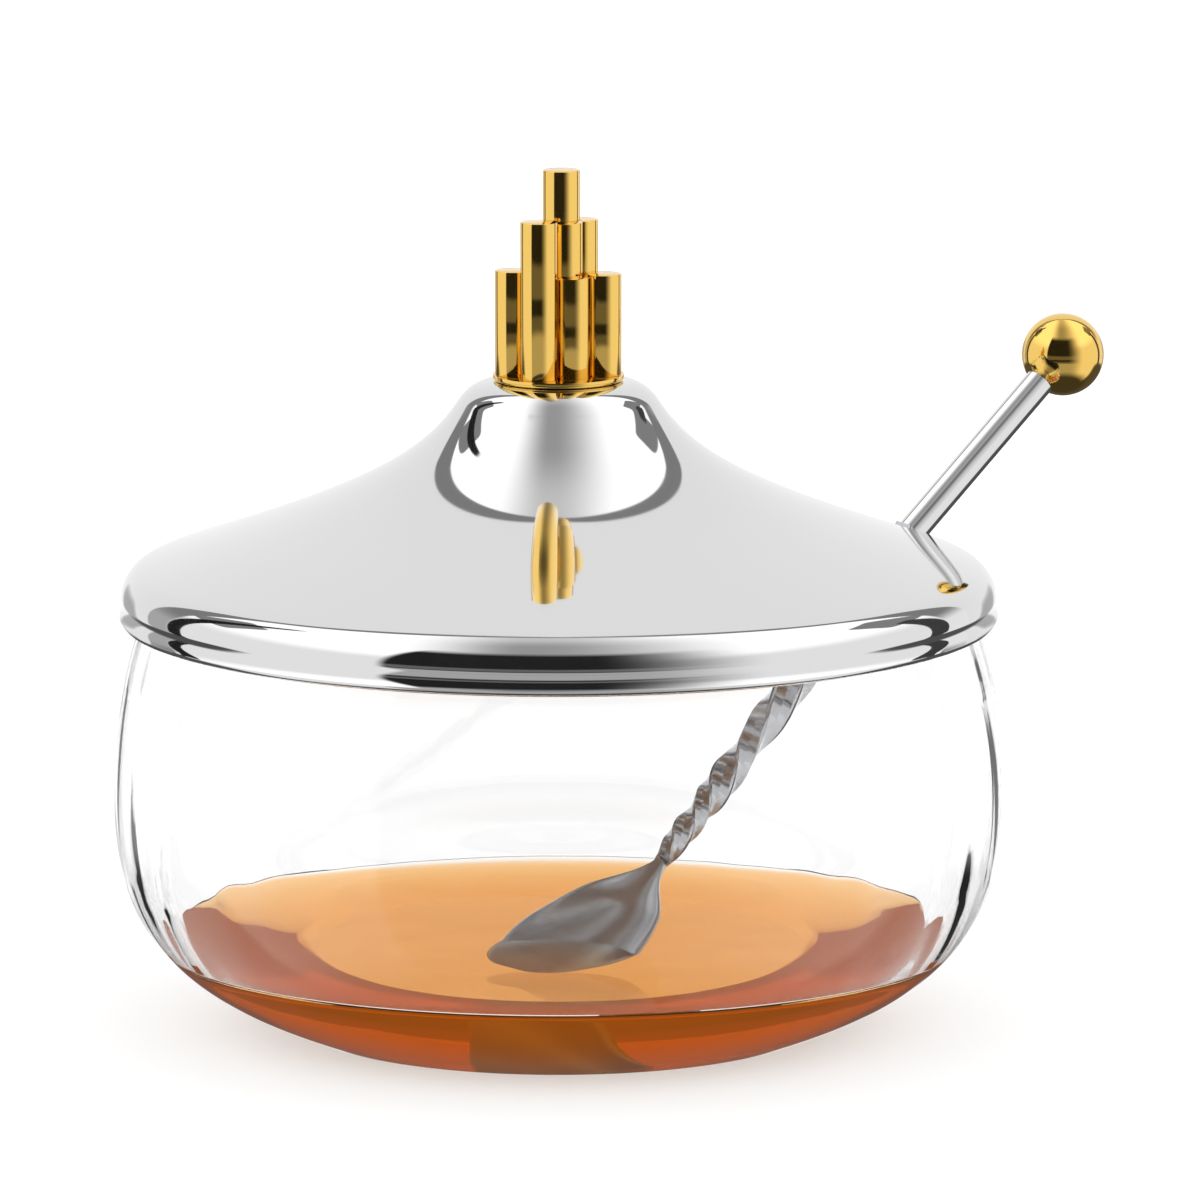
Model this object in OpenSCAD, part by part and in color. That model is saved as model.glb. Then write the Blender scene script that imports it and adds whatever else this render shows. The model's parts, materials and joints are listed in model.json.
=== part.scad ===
// Round glass honey pot with a bell-shaped metal lid, a gilt finial of clustered rods
// and a ball-ended honey spoon that leans out through a notch in the lid.
// Origin: centre of the flat base. +Z is up, -Y faces the viewer. Millimetres.

/* [Glass bowl] */
// Greatest outer radius of the bowl
bowl_r = 60.4; // [52:0.2:70]
// Height at which the bowl is widest
belly_h = 32.2; // [28:0.2:36]
// Height of the glass rim
bowl_h = 58.9; // [55:0.1:66]
// Radius of the curve that draws the wall in above the belly
upper_curve_r = 73.2; // [62:0.2:95]
// Radius of the flat base
foot_r = 36.5; // [30:0.5:42]
// Rise of the rounded edge round the flat base
foot_rise = 0.4; // [0.2:0.1:1]
// Slope of the underside where it leaves the base, in degrees
foot_slope = 21; // [14:1:26]
// Wall thickness at the belly and rim
wall = 2.6; // [2:0.1:3.6]
// Thickness of the glass under the honey
base_t = 4.6; // [3.5:0.1:6]
// Radius of the flat inner floor
floor_r = 32; // [26:0.5:36]

/* [Honey] */
// Height of the honey surface above the table
honey_level = 12; // [9:0.5:20]

/* [Lid] */
// Depth by which the lid hangs below the glass rim
lid_overlap = 3.4; // [2.5:0.1:5]
// Height of the upright skirt, from its lower edge to the shoulder
skirt_h = 7.4; // [6:0.1:10]
// Height of the bell from the shoulder to the flat top of its neck
bell_h = 25.3; // [18:0.1:34]
// Width of the lid's rim, from its turned-in lip to the outside of the skirt
lip_w = 2.25; // [2:0.05:4]
// Radius of the rolled bead round the lower edge
bead_r = 0.8; // [0.6:0.1:1.2]
// Radius of the shoulder's turn into the skirt
shoulder_turn_r = 2.4; // [1.6:0.1:3.2]
// Radius at which the bell leaves the neck's rounded edge
neck_r = 14; // [13:0.5:18]
// Thickness of the lid's sheet
sheet_t = 0.9; // [0.6:0.1:1.2]

/* [Finial] */
// Radius of each rod
rod_r = 2.5; // [2:0.1:2.9]
// Height of the tallest rod above the disc
rod_high = 27.4; // [24:0.2:34]
// Height of the middle rods above the disc
rod_mid = 20.7; // [17:0.1:23]
// Height of the low rods above the disc
rod_low = 13.6; // [10:0.1:16]
// Thickness of the disc under the rods
disc_t = 0.9; // [0.7:0.1:2]
// Width of the disc's edge that shows round the rods
disc_margin = 0.15; // [0.1:0.05:0.6]
// Radius of the stud that holds the finial
stud_r = 2; // [1.5:0.1:2.5]

/* [Spoon] */
// Direction in plan that the spoon leans towards, in degrees from +X
stem_az = 38.8; // [30:0.2:46]
// Angle of the stem above the horizontal
stem_tilt = 42.9; // [40:0.1:46]
// Direction in plan of the place where the stem leaves the lid
exit_az = 28.5; // [22:0.5:34]
// Distance inward from the skirt to the place where the stem leaves the lid
exit_inset = 3.5; // [2.5:0.1:5]
// Radius of the smooth handle
handle_r = 2.05; // [1.6:0.05:2.3]
// Length of the smooth handle up to the middle of the ball
handle_len = 38.1; // [30:0.5:50]
// Radius of the ball on the handle
ball_r = 5.7; // [4.5:0.1:7]
// Side of the square bar that the twisted shank is made from
shank_side = 2.9; // [2.3:0.1:3.2]
// Length of one full turn of the twisted shank
twist_pitch = 30; // [22:1:44]
// Length of the spoon's bowl
scoop_len = 31.5; // [27:0.5:36]
// Greatest width of the spoon's bowl
scoop_w = 20; // [16:0.5:22]
// Depth of the spoon's bowl
scoop_depth = 2.6; // [1.5:0.1:3.2]
// Thickness of the spoon's blade
blade_t = 0.9; // [0.7:0.1:1.2]
// Turn of the spoon's face about its stem
face_roll = 13.3; // [6:0.1:20]
// Upward tip of the spoon's bowl against its stem
face_pitch = 13.6; // [8:0.1:16]

/* [Clearances] */
// Gap between the lid's turned-in lip and the glass
lid_clear = 0.35; // [0.25:0.05:0.6]
// Gap between the stem and each side of the notch
notch_clear = 0.85; // [0.6:0.05:1.2]
// Gap between nested rods
rod_gap = 0.03; // [0.02:0.01:0.08]
// Radial gap of brazed and screwed joints
joint_gap = 0.02; // [0.01:0.01:0.05]
// Gap between the honey and the glass
honey_gap = 0.1; // [0.05:0.05:0.2]
// Gap between the honey and the spoon that is dipped in it
scoop_clear = 0.8; // [0.5:0.1:1.5]
// Gap between the spoon's handle and the glass rim that it leans over
rim_gap = 0.48; // [0.3:0.02:1]
// Gap between the tip of the spoon and the inner floor
tip_gap = 0.4; // [0.3:0.1:2]

/* [Hidden] */
$fn = 96;

// Steps along each free curve
curve_steps = 18;
// Steps round the glass rim, and round the small turns of the lid and disc
rim_steps = 12;
turn_steps = 8;
// Overshoot of a cutting tool past the face that it opens
over = 1;

// Lengths of the curve handles below the belly, outside and inside
outer_belly_handle = 0.62 * belly_h;
outer_foot_handle = 0.64 * (bowl_r - foot_r);
inner_belly_handle = 0.65 * (belly_h - base_t);
inner_floor_handle = 0.62 * (bowl_r - wall - floor_r);

// Angle of the wall at the rim, and the middle of the rounded rim
rim_angle = asin((bowl_h - wall / 2 - belly_h) / (upper_curve_r - wall / 2));
upper_centre = [bowl_r - upper_curve_r, belly_h];
rim_centre = upper_centre + (upper_curve_r - wall / 2) * [cos(rim_angle), sin(rim_angle)];

// Lid heights, and the radii of its lip and skirt
lid_low_z = bowl_h - lid_overlap;
shoulder_z = lid_low_z + skirt_h;
lid_top_z = shoulder_z + bell_h;
lip_r = glass_r_at(lid_low_z) + lid_clear;
skirt_r = lip_r + lip_w;
// Swell of the rolled bead past the skirt
bead_swell = 0.25;
// Slopes of the bell where it leaves the neck and where it reaches the shoulder
bell_neck_slope = 64.8;
bell_rim_slope = 18.2;
// Lengths of the bell curve's handles
bell_neck_handle = 0.44 * bell_h;
bell_rim_handle = 0.355 * (skirt_r - shoulder_turn_r * (1 - sin(bell_rim_slope)) - neck_r);
// Drop from the flat top to the point where the neck's edge meets the bell
neck_edge_drop = 2.2;
neck_edge_r = neck_edge_drop / (1 - cos(bell_neck_slope));
// Depth of the slight hollow in the skirt
skirt_hollow = 0.45;

// Finial
disc_z = lid_top_z;
rod_z = disc_z + disc_t;
// Rod centres in rod radii, and heights above the disc
RODS = [
    [0.16, 0.88, rod_high],
    [-1.04, -2.14, rod_mid + 0.7],
    [0.32, -0.24, rod_mid],
    [1.14, 0.88, rod_mid],
    [-2.42, -0.6, rod_low + 0.7],
    [0.74, -1.28, rod_low],
    [2.4, -0.48, rod_low + 0.2],
    [-1.44, 2.0, rod_low - 1.0],
    [1.6, 1.92, rod_low - 1.1]
];
cluster_reach = rod_r * max([for (rod = RODS) norm([rod[0], rod[1]])]);
disc_r = cluster_reach + rod_r + disc_margin;
// Rounding of the disc's lower edge
disc_edge_r = 0.6;
// Washer and domed nut, sized to the stud
washer_t = 0.8;
washer_r = 2.2 * stud_r;
nut_flats = 3.5 * stud_r;
nut_h = 1.6 * stud_r;
nut_dome_h = 1.3 * stud_r;
nut_ball_r = 0.48 * nut_flats;
stud_len = sheet_t + washer_t + nut_h + 0.5 * nut_dome_h;

// Spoon's bowl: size of its neck, and the share of its length at which it is widest
neck_w = 3.8;
neck_t = 2.4;
scoop_peak = 0.62;
scoop_rows = 26;
scoop_cols = 10;

// Spoon places: in plan, the stem crosses the middle of the glass rim at rim_run
// before it leaves the lid, and there the handle clears the rim by rim_gap
stem_dir = [cos(stem_tilt) * cos(stem_az), cos(stem_tilt) * sin(stem_az), sin(stem_tilt)];
exit_r = skirt_r - exit_inset;
exit_along = exit_r * cos(stem_az - exit_az);
rim_run = exit_along - sqrt(pow(exit_along, 2) - pow(exit_r, 2) + pow(rim_centre[0], 2));
over_rim = (wall / 2 + handle_r + rim_gap) / cos(stem_tilt);
exit_z = rim_centre[1] + over_rim + rim_run * tan(stem_tilt);
exit_point = [exit_r * cos(exit_az), exit_r * sin(exit_az), exit_z];
// The spoon's bowl hangs scoop_reach below its neck, tip_gap above the floor
neck_z = base_t + tip_gap + scoop_reach();
stem_below = (exit_z - neck_z) / sin(stem_tilt);
neck_point = exit_point - stem_below * stem_dir;
// The handle starts just under the lid, and bends down and aside from the shank
handle_sunk = 5;
handle_start = stem_below - handle_sunk;
handle_drop = 2.6;
handle_swing = 2;
// Spigot of the shank in the handle, and the handle's socket in the ball
spigot_len = 8;
spigot_sunk = 1.2;
spigot_r = 0.62 * handle_r;
socket_depth = 0.7 * ball_r;
shank_points = 16;
shank_rows = 48;
// Notch in the lid, measured along the stem's direction in plan
notch_half = handle_r + notch_clear;
notch_back = 6;

// Points on a cubic curve through a and d, with handles b and c
function curve(a, b, c, d, steps) = [
    for (i = [0:steps])
        let (t = i / steps, s = 1 - t)
            s * s * s * a + 3 * s * s * t * b + 3 * s * t * t * c + t * t * t * d
];

// Points on a circular arc
function arc(centre, radius, from, to, steps) = [
    for (i = [0:steps])
        let (angle = from + (to - from) * i / steps)
            centre + radius * [cos(angle), sin(angle)]
];

function reversed(points) = [for (i = [len(points) - 1:-1:0]) points[i]];

// The same points without the first, which the run before it already holds
function tail(points) = [for (i = [1:len(points) - 1]) points[i]];

// Outer radius of the glass above the belly
function glass_r_at(z) =
    bowl_r - upper_curve_r + sqrt(upper_curve_r * upper_curve_r - (z - belly_h) * (z - belly_h));

// Unit normal to the right of a path at point i
function path_normal(points, i) =
    let (
        before = points[max(i - 1, 0)],
        after = points[min(i + 1, len(points) - 1)],
        along = (after - before) / norm(after - before)
    ) [along[1], -along[0]];

// The same path moved sideways
function moved_path(points, by) = [
    for (i = [0:len(points) - 1]) points[i] + by * path_normal(points, i)
];

// Outer outline of the glass from the middle of its base up to the rim
function bowl_outside() = concat(
    [[0, 0], [foot_r - foot_rise, 0]],
    curve(
        [foot_r, foot_rise],
        [foot_r, foot_rise] + outer_foot_handle * [cos(foot_slope), sin(foot_slope)],
        [bowl_r, belly_h - outer_belly_handle],
        [bowl_r, belly_h],
        curve_steps
    ),
    arc(upper_centre, upper_curve_r, rim_angle / curve_steps, rim_angle, curve_steps)
);

// Inner outline from the rim down to the floor, set in by a gap
function bowl_inside(gap) = concat(
    arc(upper_centre, upper_curve_r - wall - gap, rim_angle, rim_angle / curve_steps, curve_steps),
    curve(
        [bowl_r - wall - gap, belly_h],
        [bowl_r - wall - gap, belly_h - inner_belly_handle],
        [floor_r + inner_floor_handle, base_t + gap],
        [floor_r, base_t + gap],
        curve_steps
    ),
    [[0, base_t + gap]]
);

// Thick clear bowl with a rounded rim
module glass_bowl() {
    color([0.86, 0.93, 0.95, 0.35])
        rotate_extrude()
            polygon(concat(
                bowl_outside(),
                arc(
                    rim_centre,
                    wall / 2,
                    rim_angle + 180 / rim_steps,
                    rim_angle + 180 - 180 / rim_steps,
                    rim_steps - 2
                ),
                bowl_inside(0)
            ));
}

// Shallow fill of honey, with room for the dipped spoon along its line of travel
module honey() {
    color([0.80, 0.42, 0.08, 0.75])
        difference() {
            intersection() {
                rotate_extrude()
                    polygon(concat([[0, bowl_h]], bowl_inside(honey_gap)));
                cylinder(r = bowl_r, h = honey_level);
            }
            spoon_track();
        }
}

// Space that the spoon's bowl passes through when it is drawn along its stem
module spoon_track() {
    track_w = scoop_w + 2 * scoop_clear;
    track_low = scoop_depth + blade_t + scoop_clear;
    track_high = scoop_len * tan(face_pitch) + scoop_clear;
    track_end = scoop_len + scoop_clear;
    on_stem()
        rotate([face_roll, 0, 0])
            translate([-track_end, -track_w / 2, -track_low])
                cube([track_end + honey_level, track_w, track_low + track_high]);
}

function bell_points() =
    let (
        neck_point_2d = [neck_r, lid_top_z - neck_edge_drop],
        rim_point_2d = [
            skirt_r - shoulder_turn_r * (1 - sin(bell_rim_slope)),
            shoulder_z
        ]
    ) curve(
        neck_point_2d,
        neck_point_2d + bell_neck_handle * [cos(bell_neck_slope), -sin(bell_neck_slope)],
        rim_point_2d + bell_rim_handle * [-cos(bell_rim_slope), sin(bell_rim_slope)],
        rim_point_2d,
        2 * curve_steps
    );

// Outer outline of the lid from its axis down to the bead
function lid_outside() =
    let (
        neck_centre = [neck_r - neck_edge_r * sin(bell_neck_slope), lid_top_z - neck_edge_r],
        turn_centre = [
            skirt_r - shoulder_turn_r,
            shoulder_z - shoulder_turn_r * cos(bell_rim_slope)
        ],
        bead_z = lid_low_z + bead_r
    ) concat(
        [[0, lid_top_z]],
        arc(neck_centre, neck_edge_r, 90, 90 - bell_neck_slope, turn_steps),
        tail(bell_points()),
        tail(arc(turn_centre, shoulder_turn_r, 90 - bell_rim_slope, 0, turn_steps)),
        tail(curve(
            [skirt_r, turn_centre[1]],
            [skirt_r - skirt_hollow, turn_centre[1] - skirt_h / 4],
            [skirt_r - skirt_hollow, bead_z + skirt_h / 5],
            [skirt_r + bead_swell, bead_z],
            turn_steps
        ))
    );

// Spun bell with a straight skirt, a rolled bead and a turned-in lip
module lid_shell() {
    bead_mid = [skirt_r + bead_swell - bead_r, lid_low_z + bead_r];
    color([0.83, 0.84, 0.85])
        difference() {
            union() {
                rotate_extrude()
                    polygon(concat(lid_outside(), reversed(lid_inside())));
                rotate_extrude()
                    translate(bead_mid)
                        circle(r = bead_r, $fn = 32);
                translate([0, 0, lid_low_z])
                    difference() {
                        cylinder(r = bead_mid[0], h = bead_r);
                        translate([0, 0, -over])
                            cylinder(r = lip_r, h = bead_r + 2 * over);
                    }
            }
            translate([0, 0, lid_top_z - sheet_t - over])
                cylinder(r = stud_r + joint_gap, h = sheet_t + 2 * over);
            notch_cut();
        }
}

// Inner outline of the lid, one sheet thickness inside the outer one
function lid_inside() =
    let (
        outside = lid_outside(),
        inside = moved_path(outside, sheet_t)
    ) concat(
        [[0, lid_top_z - sheet_t]],
        tail(inside)
    );

// Upright slot, open at the rim, in line with the spoon's stem
module notch_cut() {
    translate([exit_point[0], exit_point[1], lid_low_z - over])
        rotate([0, 0, stem_az])
            union() {
                translate([notch_half - notch_back, 0, 0])
                    cylinder(r = notch_half, h = skirt_h + bell_h);
                translate([notch_half - notch_back, -notch_half, 0])
                    cube([skirt_r, 2 * notch_half, skirt_h + bell_h]);
            }
}

// Thin disc with a rounded lower edge that carries the rods
module finial_disc() {
    color([0.86, 0.66, 0.30])
        rotate_extrude()
            polygon(concat(
                [[0, disc_z]],
                arc(
                    [disc_r - disc_edge_r, disc_z + disc_edge_r],
                    disc_edge_r, -90, 0, turn_steps
                ),
                [[disc_r, rod_z], [0, rod_z]]
            ));
}

// True where rod other stands taller than rod number, or first among equals
function stands_over(other, number) =
    other != number
    && (RODS[other][2] > RODS[number][2]
        || (RODS[other][2] == RODS[number][2] && other < number));

// One rod, fluted where it nests against each taller neighbour
module finial_rod(number) {
    rod = RODS[number];
    color([0.88, 0.68, 0.32])
        difference() {
            translate([rod_r * rod[0], rod_r * rod[1], rod_z])
                cylinder(r = rod_r, h = rod[2]);
            for (other = [0:len(RODS) - 1])
                if (stands_over(other, number))
                    translate([rod_r * RODS[other][0], rod_r * RODS[other][1], rod_z - over])
                        cylinder(r = rod_r + rod_gap, h = rod[2] + 2 * over);
        }
}

// Stud brazed under the disc, through the hole in the lid
module finial_stud() {
    color([0.80, 0.60, 0.28])
        translate([0, 0, disc_z - stud_len])
            cylinder(r = stud_r, h = stud_len);
}

// Plain washer under the lid's neck
module finial_washer() {
    color([0.78, 0.79, 0.80])
        translate([0, 0, disc_z - sheet_t - washer_t])
            difference() {
                cylinder(r = washer_r, h = washer_t);
                translate([0, 0, -over])
                    cylinder(r = stud_r + joint_gap, h = washer_t + 2 * over);
            }
}

// Domed nut that closes the stud off from the honey
module finial_nut() {
    nut_top = disc_z - sheet_t - washer_t;
    color([0.78, 0.79, 0.80])
        difference() {
            union() {
                translate([0, 0, nut_top - nut_h])
                    cylinder(d = nut_flats / cos(30), h = nut_h, $fn = 6);
                translate([0, 0, nut_top - nut_h - nut_dome_h + nut_ball_r])
                    sphere(r = nut_ball_r);
            }
            translate([0, 0, disc_z - stud_len - joint_gap])
                cylinder(r = stud_r + joint_gap, h = stud_len + over);
            translate([0, 0, nut_top])
                cylinder(r = nut_flats, h = nut_flats);
        }
}

// Spoon frame: origin at the neck, +X up the stem
module on_stem() {
    translate(neck_point)
        rotate([0, -stem_tilt, stem_az])
            children();
}

// Frame of the smooth handle, bent slightly away from the shank
module on_handle() {
    on_stem()
        translate([handle_start, 0, 0])
            rotate([0, handle_drop, -handle_swing])
                children();
}

// Half width of the spoon's bowl at a distance u from the neck
function scoop_half(u) =
    let (
        s = u / scoop_len,
        swell = s < scoop_peak
            ? sin(90 * s / scoop_peak)
            : sqrt(max(0.02, 1 - pow((s - scoop_peak) / (1 - scoop_peak), 2)))
    ) neck_w / 2 + (scoop_w - neck_w) / 2 * swell;

// Height of the blade's middle surface at u along and share f across
function scoop_mid(u, f) =
    tan(face_pitch) * u * u / (u + 4)
    - scoop_depth * (1 - f * f) * sin(180 * pow(u / scoop_len, 0.8));

function scoop_thick(u) = blade_t + (neck_t - blade_t) * exp(-u / 3);

// Points round one cross section of the spoon's bowl, upper side then lower side
function scoop_ring(u) = [
    for (side = [1, -1], j = [0:scoop_cols])
        let (f = side * (1 - 2 * j / scoop_cols))
            [-u, f * scoop_half(u), scoop_mid(u, f) + side * scoop_thick(u) / 2]
];

// Cross sections of the spoon's bowl, closer together at the neck and the tip
function scoop_rings() = [
    for (i = [0:scoop_rows])
        let (turn = 180 * i / scoop_rows)
            scoop_ring(scoop_len * (1 - cos(turn)) / 2)
];

// Depth of the lowest point of the tilted bowl below the neck
function scoop_reach() = -min([
    for (ring = scoop_rings(), p = ring)
        p[0] * sin(stem_tilt)
        + (p[1] * sin(face_roll) + p[2] * cos(face_roll)) * cos(stem_tilt)
]);

// Points round the twisted square bar at a distance x from the neck
function shank_ring(x) = [
    for (j = [0:shank_points - 1])
        let (
            angle = 360 * j / shank_points,
            square_r = shank_side / 2
                / pow(pow(abs(cos(angle)), 5) + pow(abs(sin(angle)), 5), 1 / 5),
            turned = angle + 360 * x / twist_pitch
        )
            [x, square_r * cos(turned), square_r * sin(turned)]
];

// Closed solid through rings of points, each with the same even number of points
module loft(rings) {
    n = len(rings[0]);
    last = (len(rings) - 1) * n;
    sides = [
        for (i = [0:len(rings) - 2], j = [0:n - 1])
            let (
                a = i * n + j,
                b = i * n + (j + 1) % n,
                c = a + n,
                d = b + n
            )
                each [[a, b, d], [a, d, c]]
    ];
    caps = [
        for (j = [0:n / 2 - 2])
            each [
                [n - 2 - j, j + 1, j],
                [n - 1 - j, n - 2 - j, j],
                [last + j, last + j + 1, last + n - 2 - j],
                [last + j, last + n - 2 - j, last + n - 1 - j]
            ]
    ];
    points = [for (ring = rings) each ring];
    polyhedron(points, concat(sides, caps), convexity = 4);
}

// Dished blade, lofted through cross sections from the neck to the tip
module spoon_bowl() {
    color([0.80, 0.80, 0.80])
        on_stem()
            rotate([face_roll, 0, 0])
                loft(scoop_rings());
}

// Twisted square bar between the spoon's neck and the handle, with a round spigot
module spoon_shank() {
    color([0.76, 0.76, 0.77])
        union() {
            on_stem()
                loft([for (i = [shank_rows:-1:0]) shank_ring(handle_start * i / shank_rows)]);
            on_handle()
                rotate([0, 90, 0])
                    translate([0, 0, -spigot_sunk])
                        cylinder(r = spigot_r, h = spigot_sunk + spigot_len);
        }
}

// Smooth round handle, bored for the shank's spigot
module spoon_handle() {
    color([0.84, 0.84, 0.85])
        on_handle()
            rotate([0, 90, 0])
                difference() {
                    cylinder(r = handle_r, h = handle_len - ball_r + socket_depth);
                    translate([0, 0, -over])
                        cylinder(r = spigot_r + joint_gap, h = spigot_len + over);
                }
}

// Gilt ball with a blind socket for the handle
module spoon_ball() {
    color([0.88, 0.68, 0.32])
        on_handle()
            translate([handle_len, 0, 0])
                difference() {
                    sphere(r = ball_r);
                    translate([-ball_r - over, 0, 0])
                        rotate([0, 90, 0])
                            cylinder(r = handle_r + joint_gap, h = socket_depth + over + joint_gap);
                }
}

glass_bowl();
honey();
lid_shell();
finial_disc();
finial_rod(0);  // rod_centre
finial_rod(1);  // rod_mid_left
finial_rod(2);  // rod_mid_front
finial_rod(3);  // rod_mid_right
finial_rod(4);  // rod_low_left
finial_rod(5);  // rod_low_front
finial_rod(6);  // rod_low_right
finial_rod(7);  // rod_back_left
finial_rod(8);  // rod_back_right
finial_stud();
finial_washer();
finial_nut();
spoon_bowl();
spoon_shank();
spoon_handle();
spoon_ball();
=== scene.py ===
import json
import math

import bpy
from mathutils import Matrix, Vector

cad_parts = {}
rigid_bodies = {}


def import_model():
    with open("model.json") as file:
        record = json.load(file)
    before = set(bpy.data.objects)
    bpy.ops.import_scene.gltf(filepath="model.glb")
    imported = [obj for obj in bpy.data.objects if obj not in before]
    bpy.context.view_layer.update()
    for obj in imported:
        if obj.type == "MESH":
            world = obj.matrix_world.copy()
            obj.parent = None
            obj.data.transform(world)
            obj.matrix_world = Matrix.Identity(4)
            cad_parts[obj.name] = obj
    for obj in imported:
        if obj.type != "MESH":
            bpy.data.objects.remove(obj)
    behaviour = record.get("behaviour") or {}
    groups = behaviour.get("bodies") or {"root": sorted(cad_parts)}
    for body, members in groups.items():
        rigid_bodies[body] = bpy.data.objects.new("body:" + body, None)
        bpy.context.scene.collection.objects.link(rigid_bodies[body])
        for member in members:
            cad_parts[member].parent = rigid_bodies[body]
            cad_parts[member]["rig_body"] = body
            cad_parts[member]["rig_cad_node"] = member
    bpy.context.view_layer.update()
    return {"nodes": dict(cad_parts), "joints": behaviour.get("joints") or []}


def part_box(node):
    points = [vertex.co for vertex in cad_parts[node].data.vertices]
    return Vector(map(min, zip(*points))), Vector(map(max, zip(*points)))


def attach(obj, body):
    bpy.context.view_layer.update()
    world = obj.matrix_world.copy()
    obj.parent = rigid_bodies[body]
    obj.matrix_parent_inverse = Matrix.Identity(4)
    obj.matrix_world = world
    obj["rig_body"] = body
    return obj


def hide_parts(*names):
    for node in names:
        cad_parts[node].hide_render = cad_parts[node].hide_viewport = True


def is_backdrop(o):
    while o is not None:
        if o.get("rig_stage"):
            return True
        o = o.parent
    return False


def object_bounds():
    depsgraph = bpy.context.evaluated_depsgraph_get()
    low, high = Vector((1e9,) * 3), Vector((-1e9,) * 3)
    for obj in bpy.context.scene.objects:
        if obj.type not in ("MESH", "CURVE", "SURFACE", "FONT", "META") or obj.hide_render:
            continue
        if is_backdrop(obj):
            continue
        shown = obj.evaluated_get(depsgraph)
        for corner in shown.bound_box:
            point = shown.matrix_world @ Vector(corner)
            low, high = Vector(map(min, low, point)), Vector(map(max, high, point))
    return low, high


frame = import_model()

MM = 0.001


# The light round the pot. Polished metal mirrors a studio that is dark in front, bright at
# the sides and overhead, and white behind. Its fields are laid out by direction, in degrees,
# and a level of 1 is white. Matt surfaces get an even light from the sides instead.
def node_tree(owner):
    """Empties the shader nodes of a world or a material, and returns its nodes and links."""
    owner.use_nodes = True
    owner.node_tree.nodes.clear()
    return owner.node_tree.nodes, owner.node_tree.links


def math_node(nodes, links, operation, *inputs):
    """Adds a math node and returns its output; an input is a number or another node's output."""
    node = nodes.new("ShaderNodeMath")
    node.operation = operation
    for socket, value in zip(node.inputs, inputs):
        if isinstance(value, (int, float)):
            socket.default_value = value
        else:
            links.new(value, socket)
    return node.outputs[0]


def soft_step(nodes, links, value, start, end):
    """Runs smoothly from 0 where value is at start to 1 where it is at end."""
    node = nodes.new("ShaderNodeMapRange")
    node.interpolation_type = "SMOOTHSTEP"
    links.new(value, node.inputs["Value"])
    node.inputs["From Min"].default_value = start
    node.inputs["From Max"].default_value = end
    return node.outputs["Result"]


def blended(nodes, links, amount, low, high):
    """low where amount is 0 and high where it is 1."""
    node = nodes.new("ShaderNodeMix")
    node.data_type = "FLOAT"
    for socket, value in zip((node.inputs[0], node.inputs[2], node.inputs[3]), (amount, low, high)):
        if isinstance(value, (int, float)):
            socket.default_value = value
        else:
            links.new(value, socket)
    return node.outputs[0]


world = bpy.data.worlds.new("studio")
bpy.context.scene.world = world
nodes, links = node_tree(world)
direction = nodes.new("ShaderNodeTexCoord").outputs["Generated"]
split = nodes.new("ShaderNodeSeparateXYZ")
links.new(direction, split.inputs[0])
to_right, to_back, upward = split.outputs
DEGREE = 180 / math.pi
to_front = math_node(nodes, links, "MULTIPLY", to_back, -1)
turn_from_back = math_node(
    nodes, links, "MULTIPLY", math_node(nodes, links, "ARCTAN2", to_right, to_back), DEGREE)
turn_from_front = math_node(
    nodes, links, "MULTIPLY", math_node(nodes, links, "ARCTAN2", to_right, to_front), DEGREE)
elevation = math_node(nodes, links, "MULTIPLY", math_node(nodes, links, "ARCSINE", upward), DEGREE)


def studio_field(below, level, turn, width, height, soft=0.1, power=6):
    """Lays a field of light or dark over the level below it; width and height are (middle, half)."""
    across = math_node(
        nodes, links, "DIVIDE", math_node(nodes, links, "SUBTRACT", turn, width[0]), width[1])
    along = math_node(
        nodes, links, "DIVIDE", math_node(nodes, links, "SUBTRACT", elevation, height[0]), height[1])
    reach = math_node(
        nodes, links, "ADD",
        math_node(nodes, links, "POWER", math_node(nodes, links, "ABSOLUTE", across), power),
        math_node(nodes, links, "POWER", math_node(nodes, links, "ABSOLUTE", along), power))
    inside = soft_step(nodes, links, reach, 1 + soft * power, 1 - soft * power / 2)
    return blended(nodes, links, inside, below, level)


# Overhead hangs a large white panel. Towards the camera it has a grey wedge that widens, from
# the place where the wedge would close to a point. An edge is where a change starts and ends.
LEFT_POINT = 0.95
RIGHT_POINT = 0.77
LEAST_WIDTH = 0.1
PANEL_LEFT_EDGE = (-0.08, -0.43)
PANEL_RIGHT_EDGE = (-0.05, 0.68)
PANEL_LOW = 1.05
PANEL_HIGH = 1.5
PANEL_RISE = (16, 34)
WEDGE_GREY = 0.42
WEDGE_GREY_BEHIND = 0.74
WEDGE_RISE = (-0.2, 0.5)
right_width = math_node(
    nodes, links, "MAXIMUM", math_node(nodes, links, "SUBTRACT", RIGHT_POINT, to_back), LEAST_WIDTH)
left_width = math_node(
    nodes, links, "MAXIMUM", math_node(nodes, links, "SUBTRACT", LEFT_POINT, to_back), LEAST_WIDTH)
right_part = math_node(nodes, links, "DIVIDE", to_right, right_width)
left_part = math_node(nodes, links, "DIVIDE", to_right, left_width)
panel = math_node(
    nodes, links, "MAXIMUM", soft_step(nodes, links, left_part, *PANEL_LEFT_EDGE),
    soft_step(nodes, links, right_part, *PANEL_RIGHT_EDGE))
wedge = blended(
    nodes, links, soft_step(nodes, links, to_back, *WEDGE_RISE), WEDGE_GREY, WEDGE_GREY_BEHIND)
lit = blended(nodes, links, soft_step(nodes, links, elevation, *PANEL_RISE), PANEL_LOW, PANEL_HIGH)
studio = blended(nodes, links, panel, wedge, lit)

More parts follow.
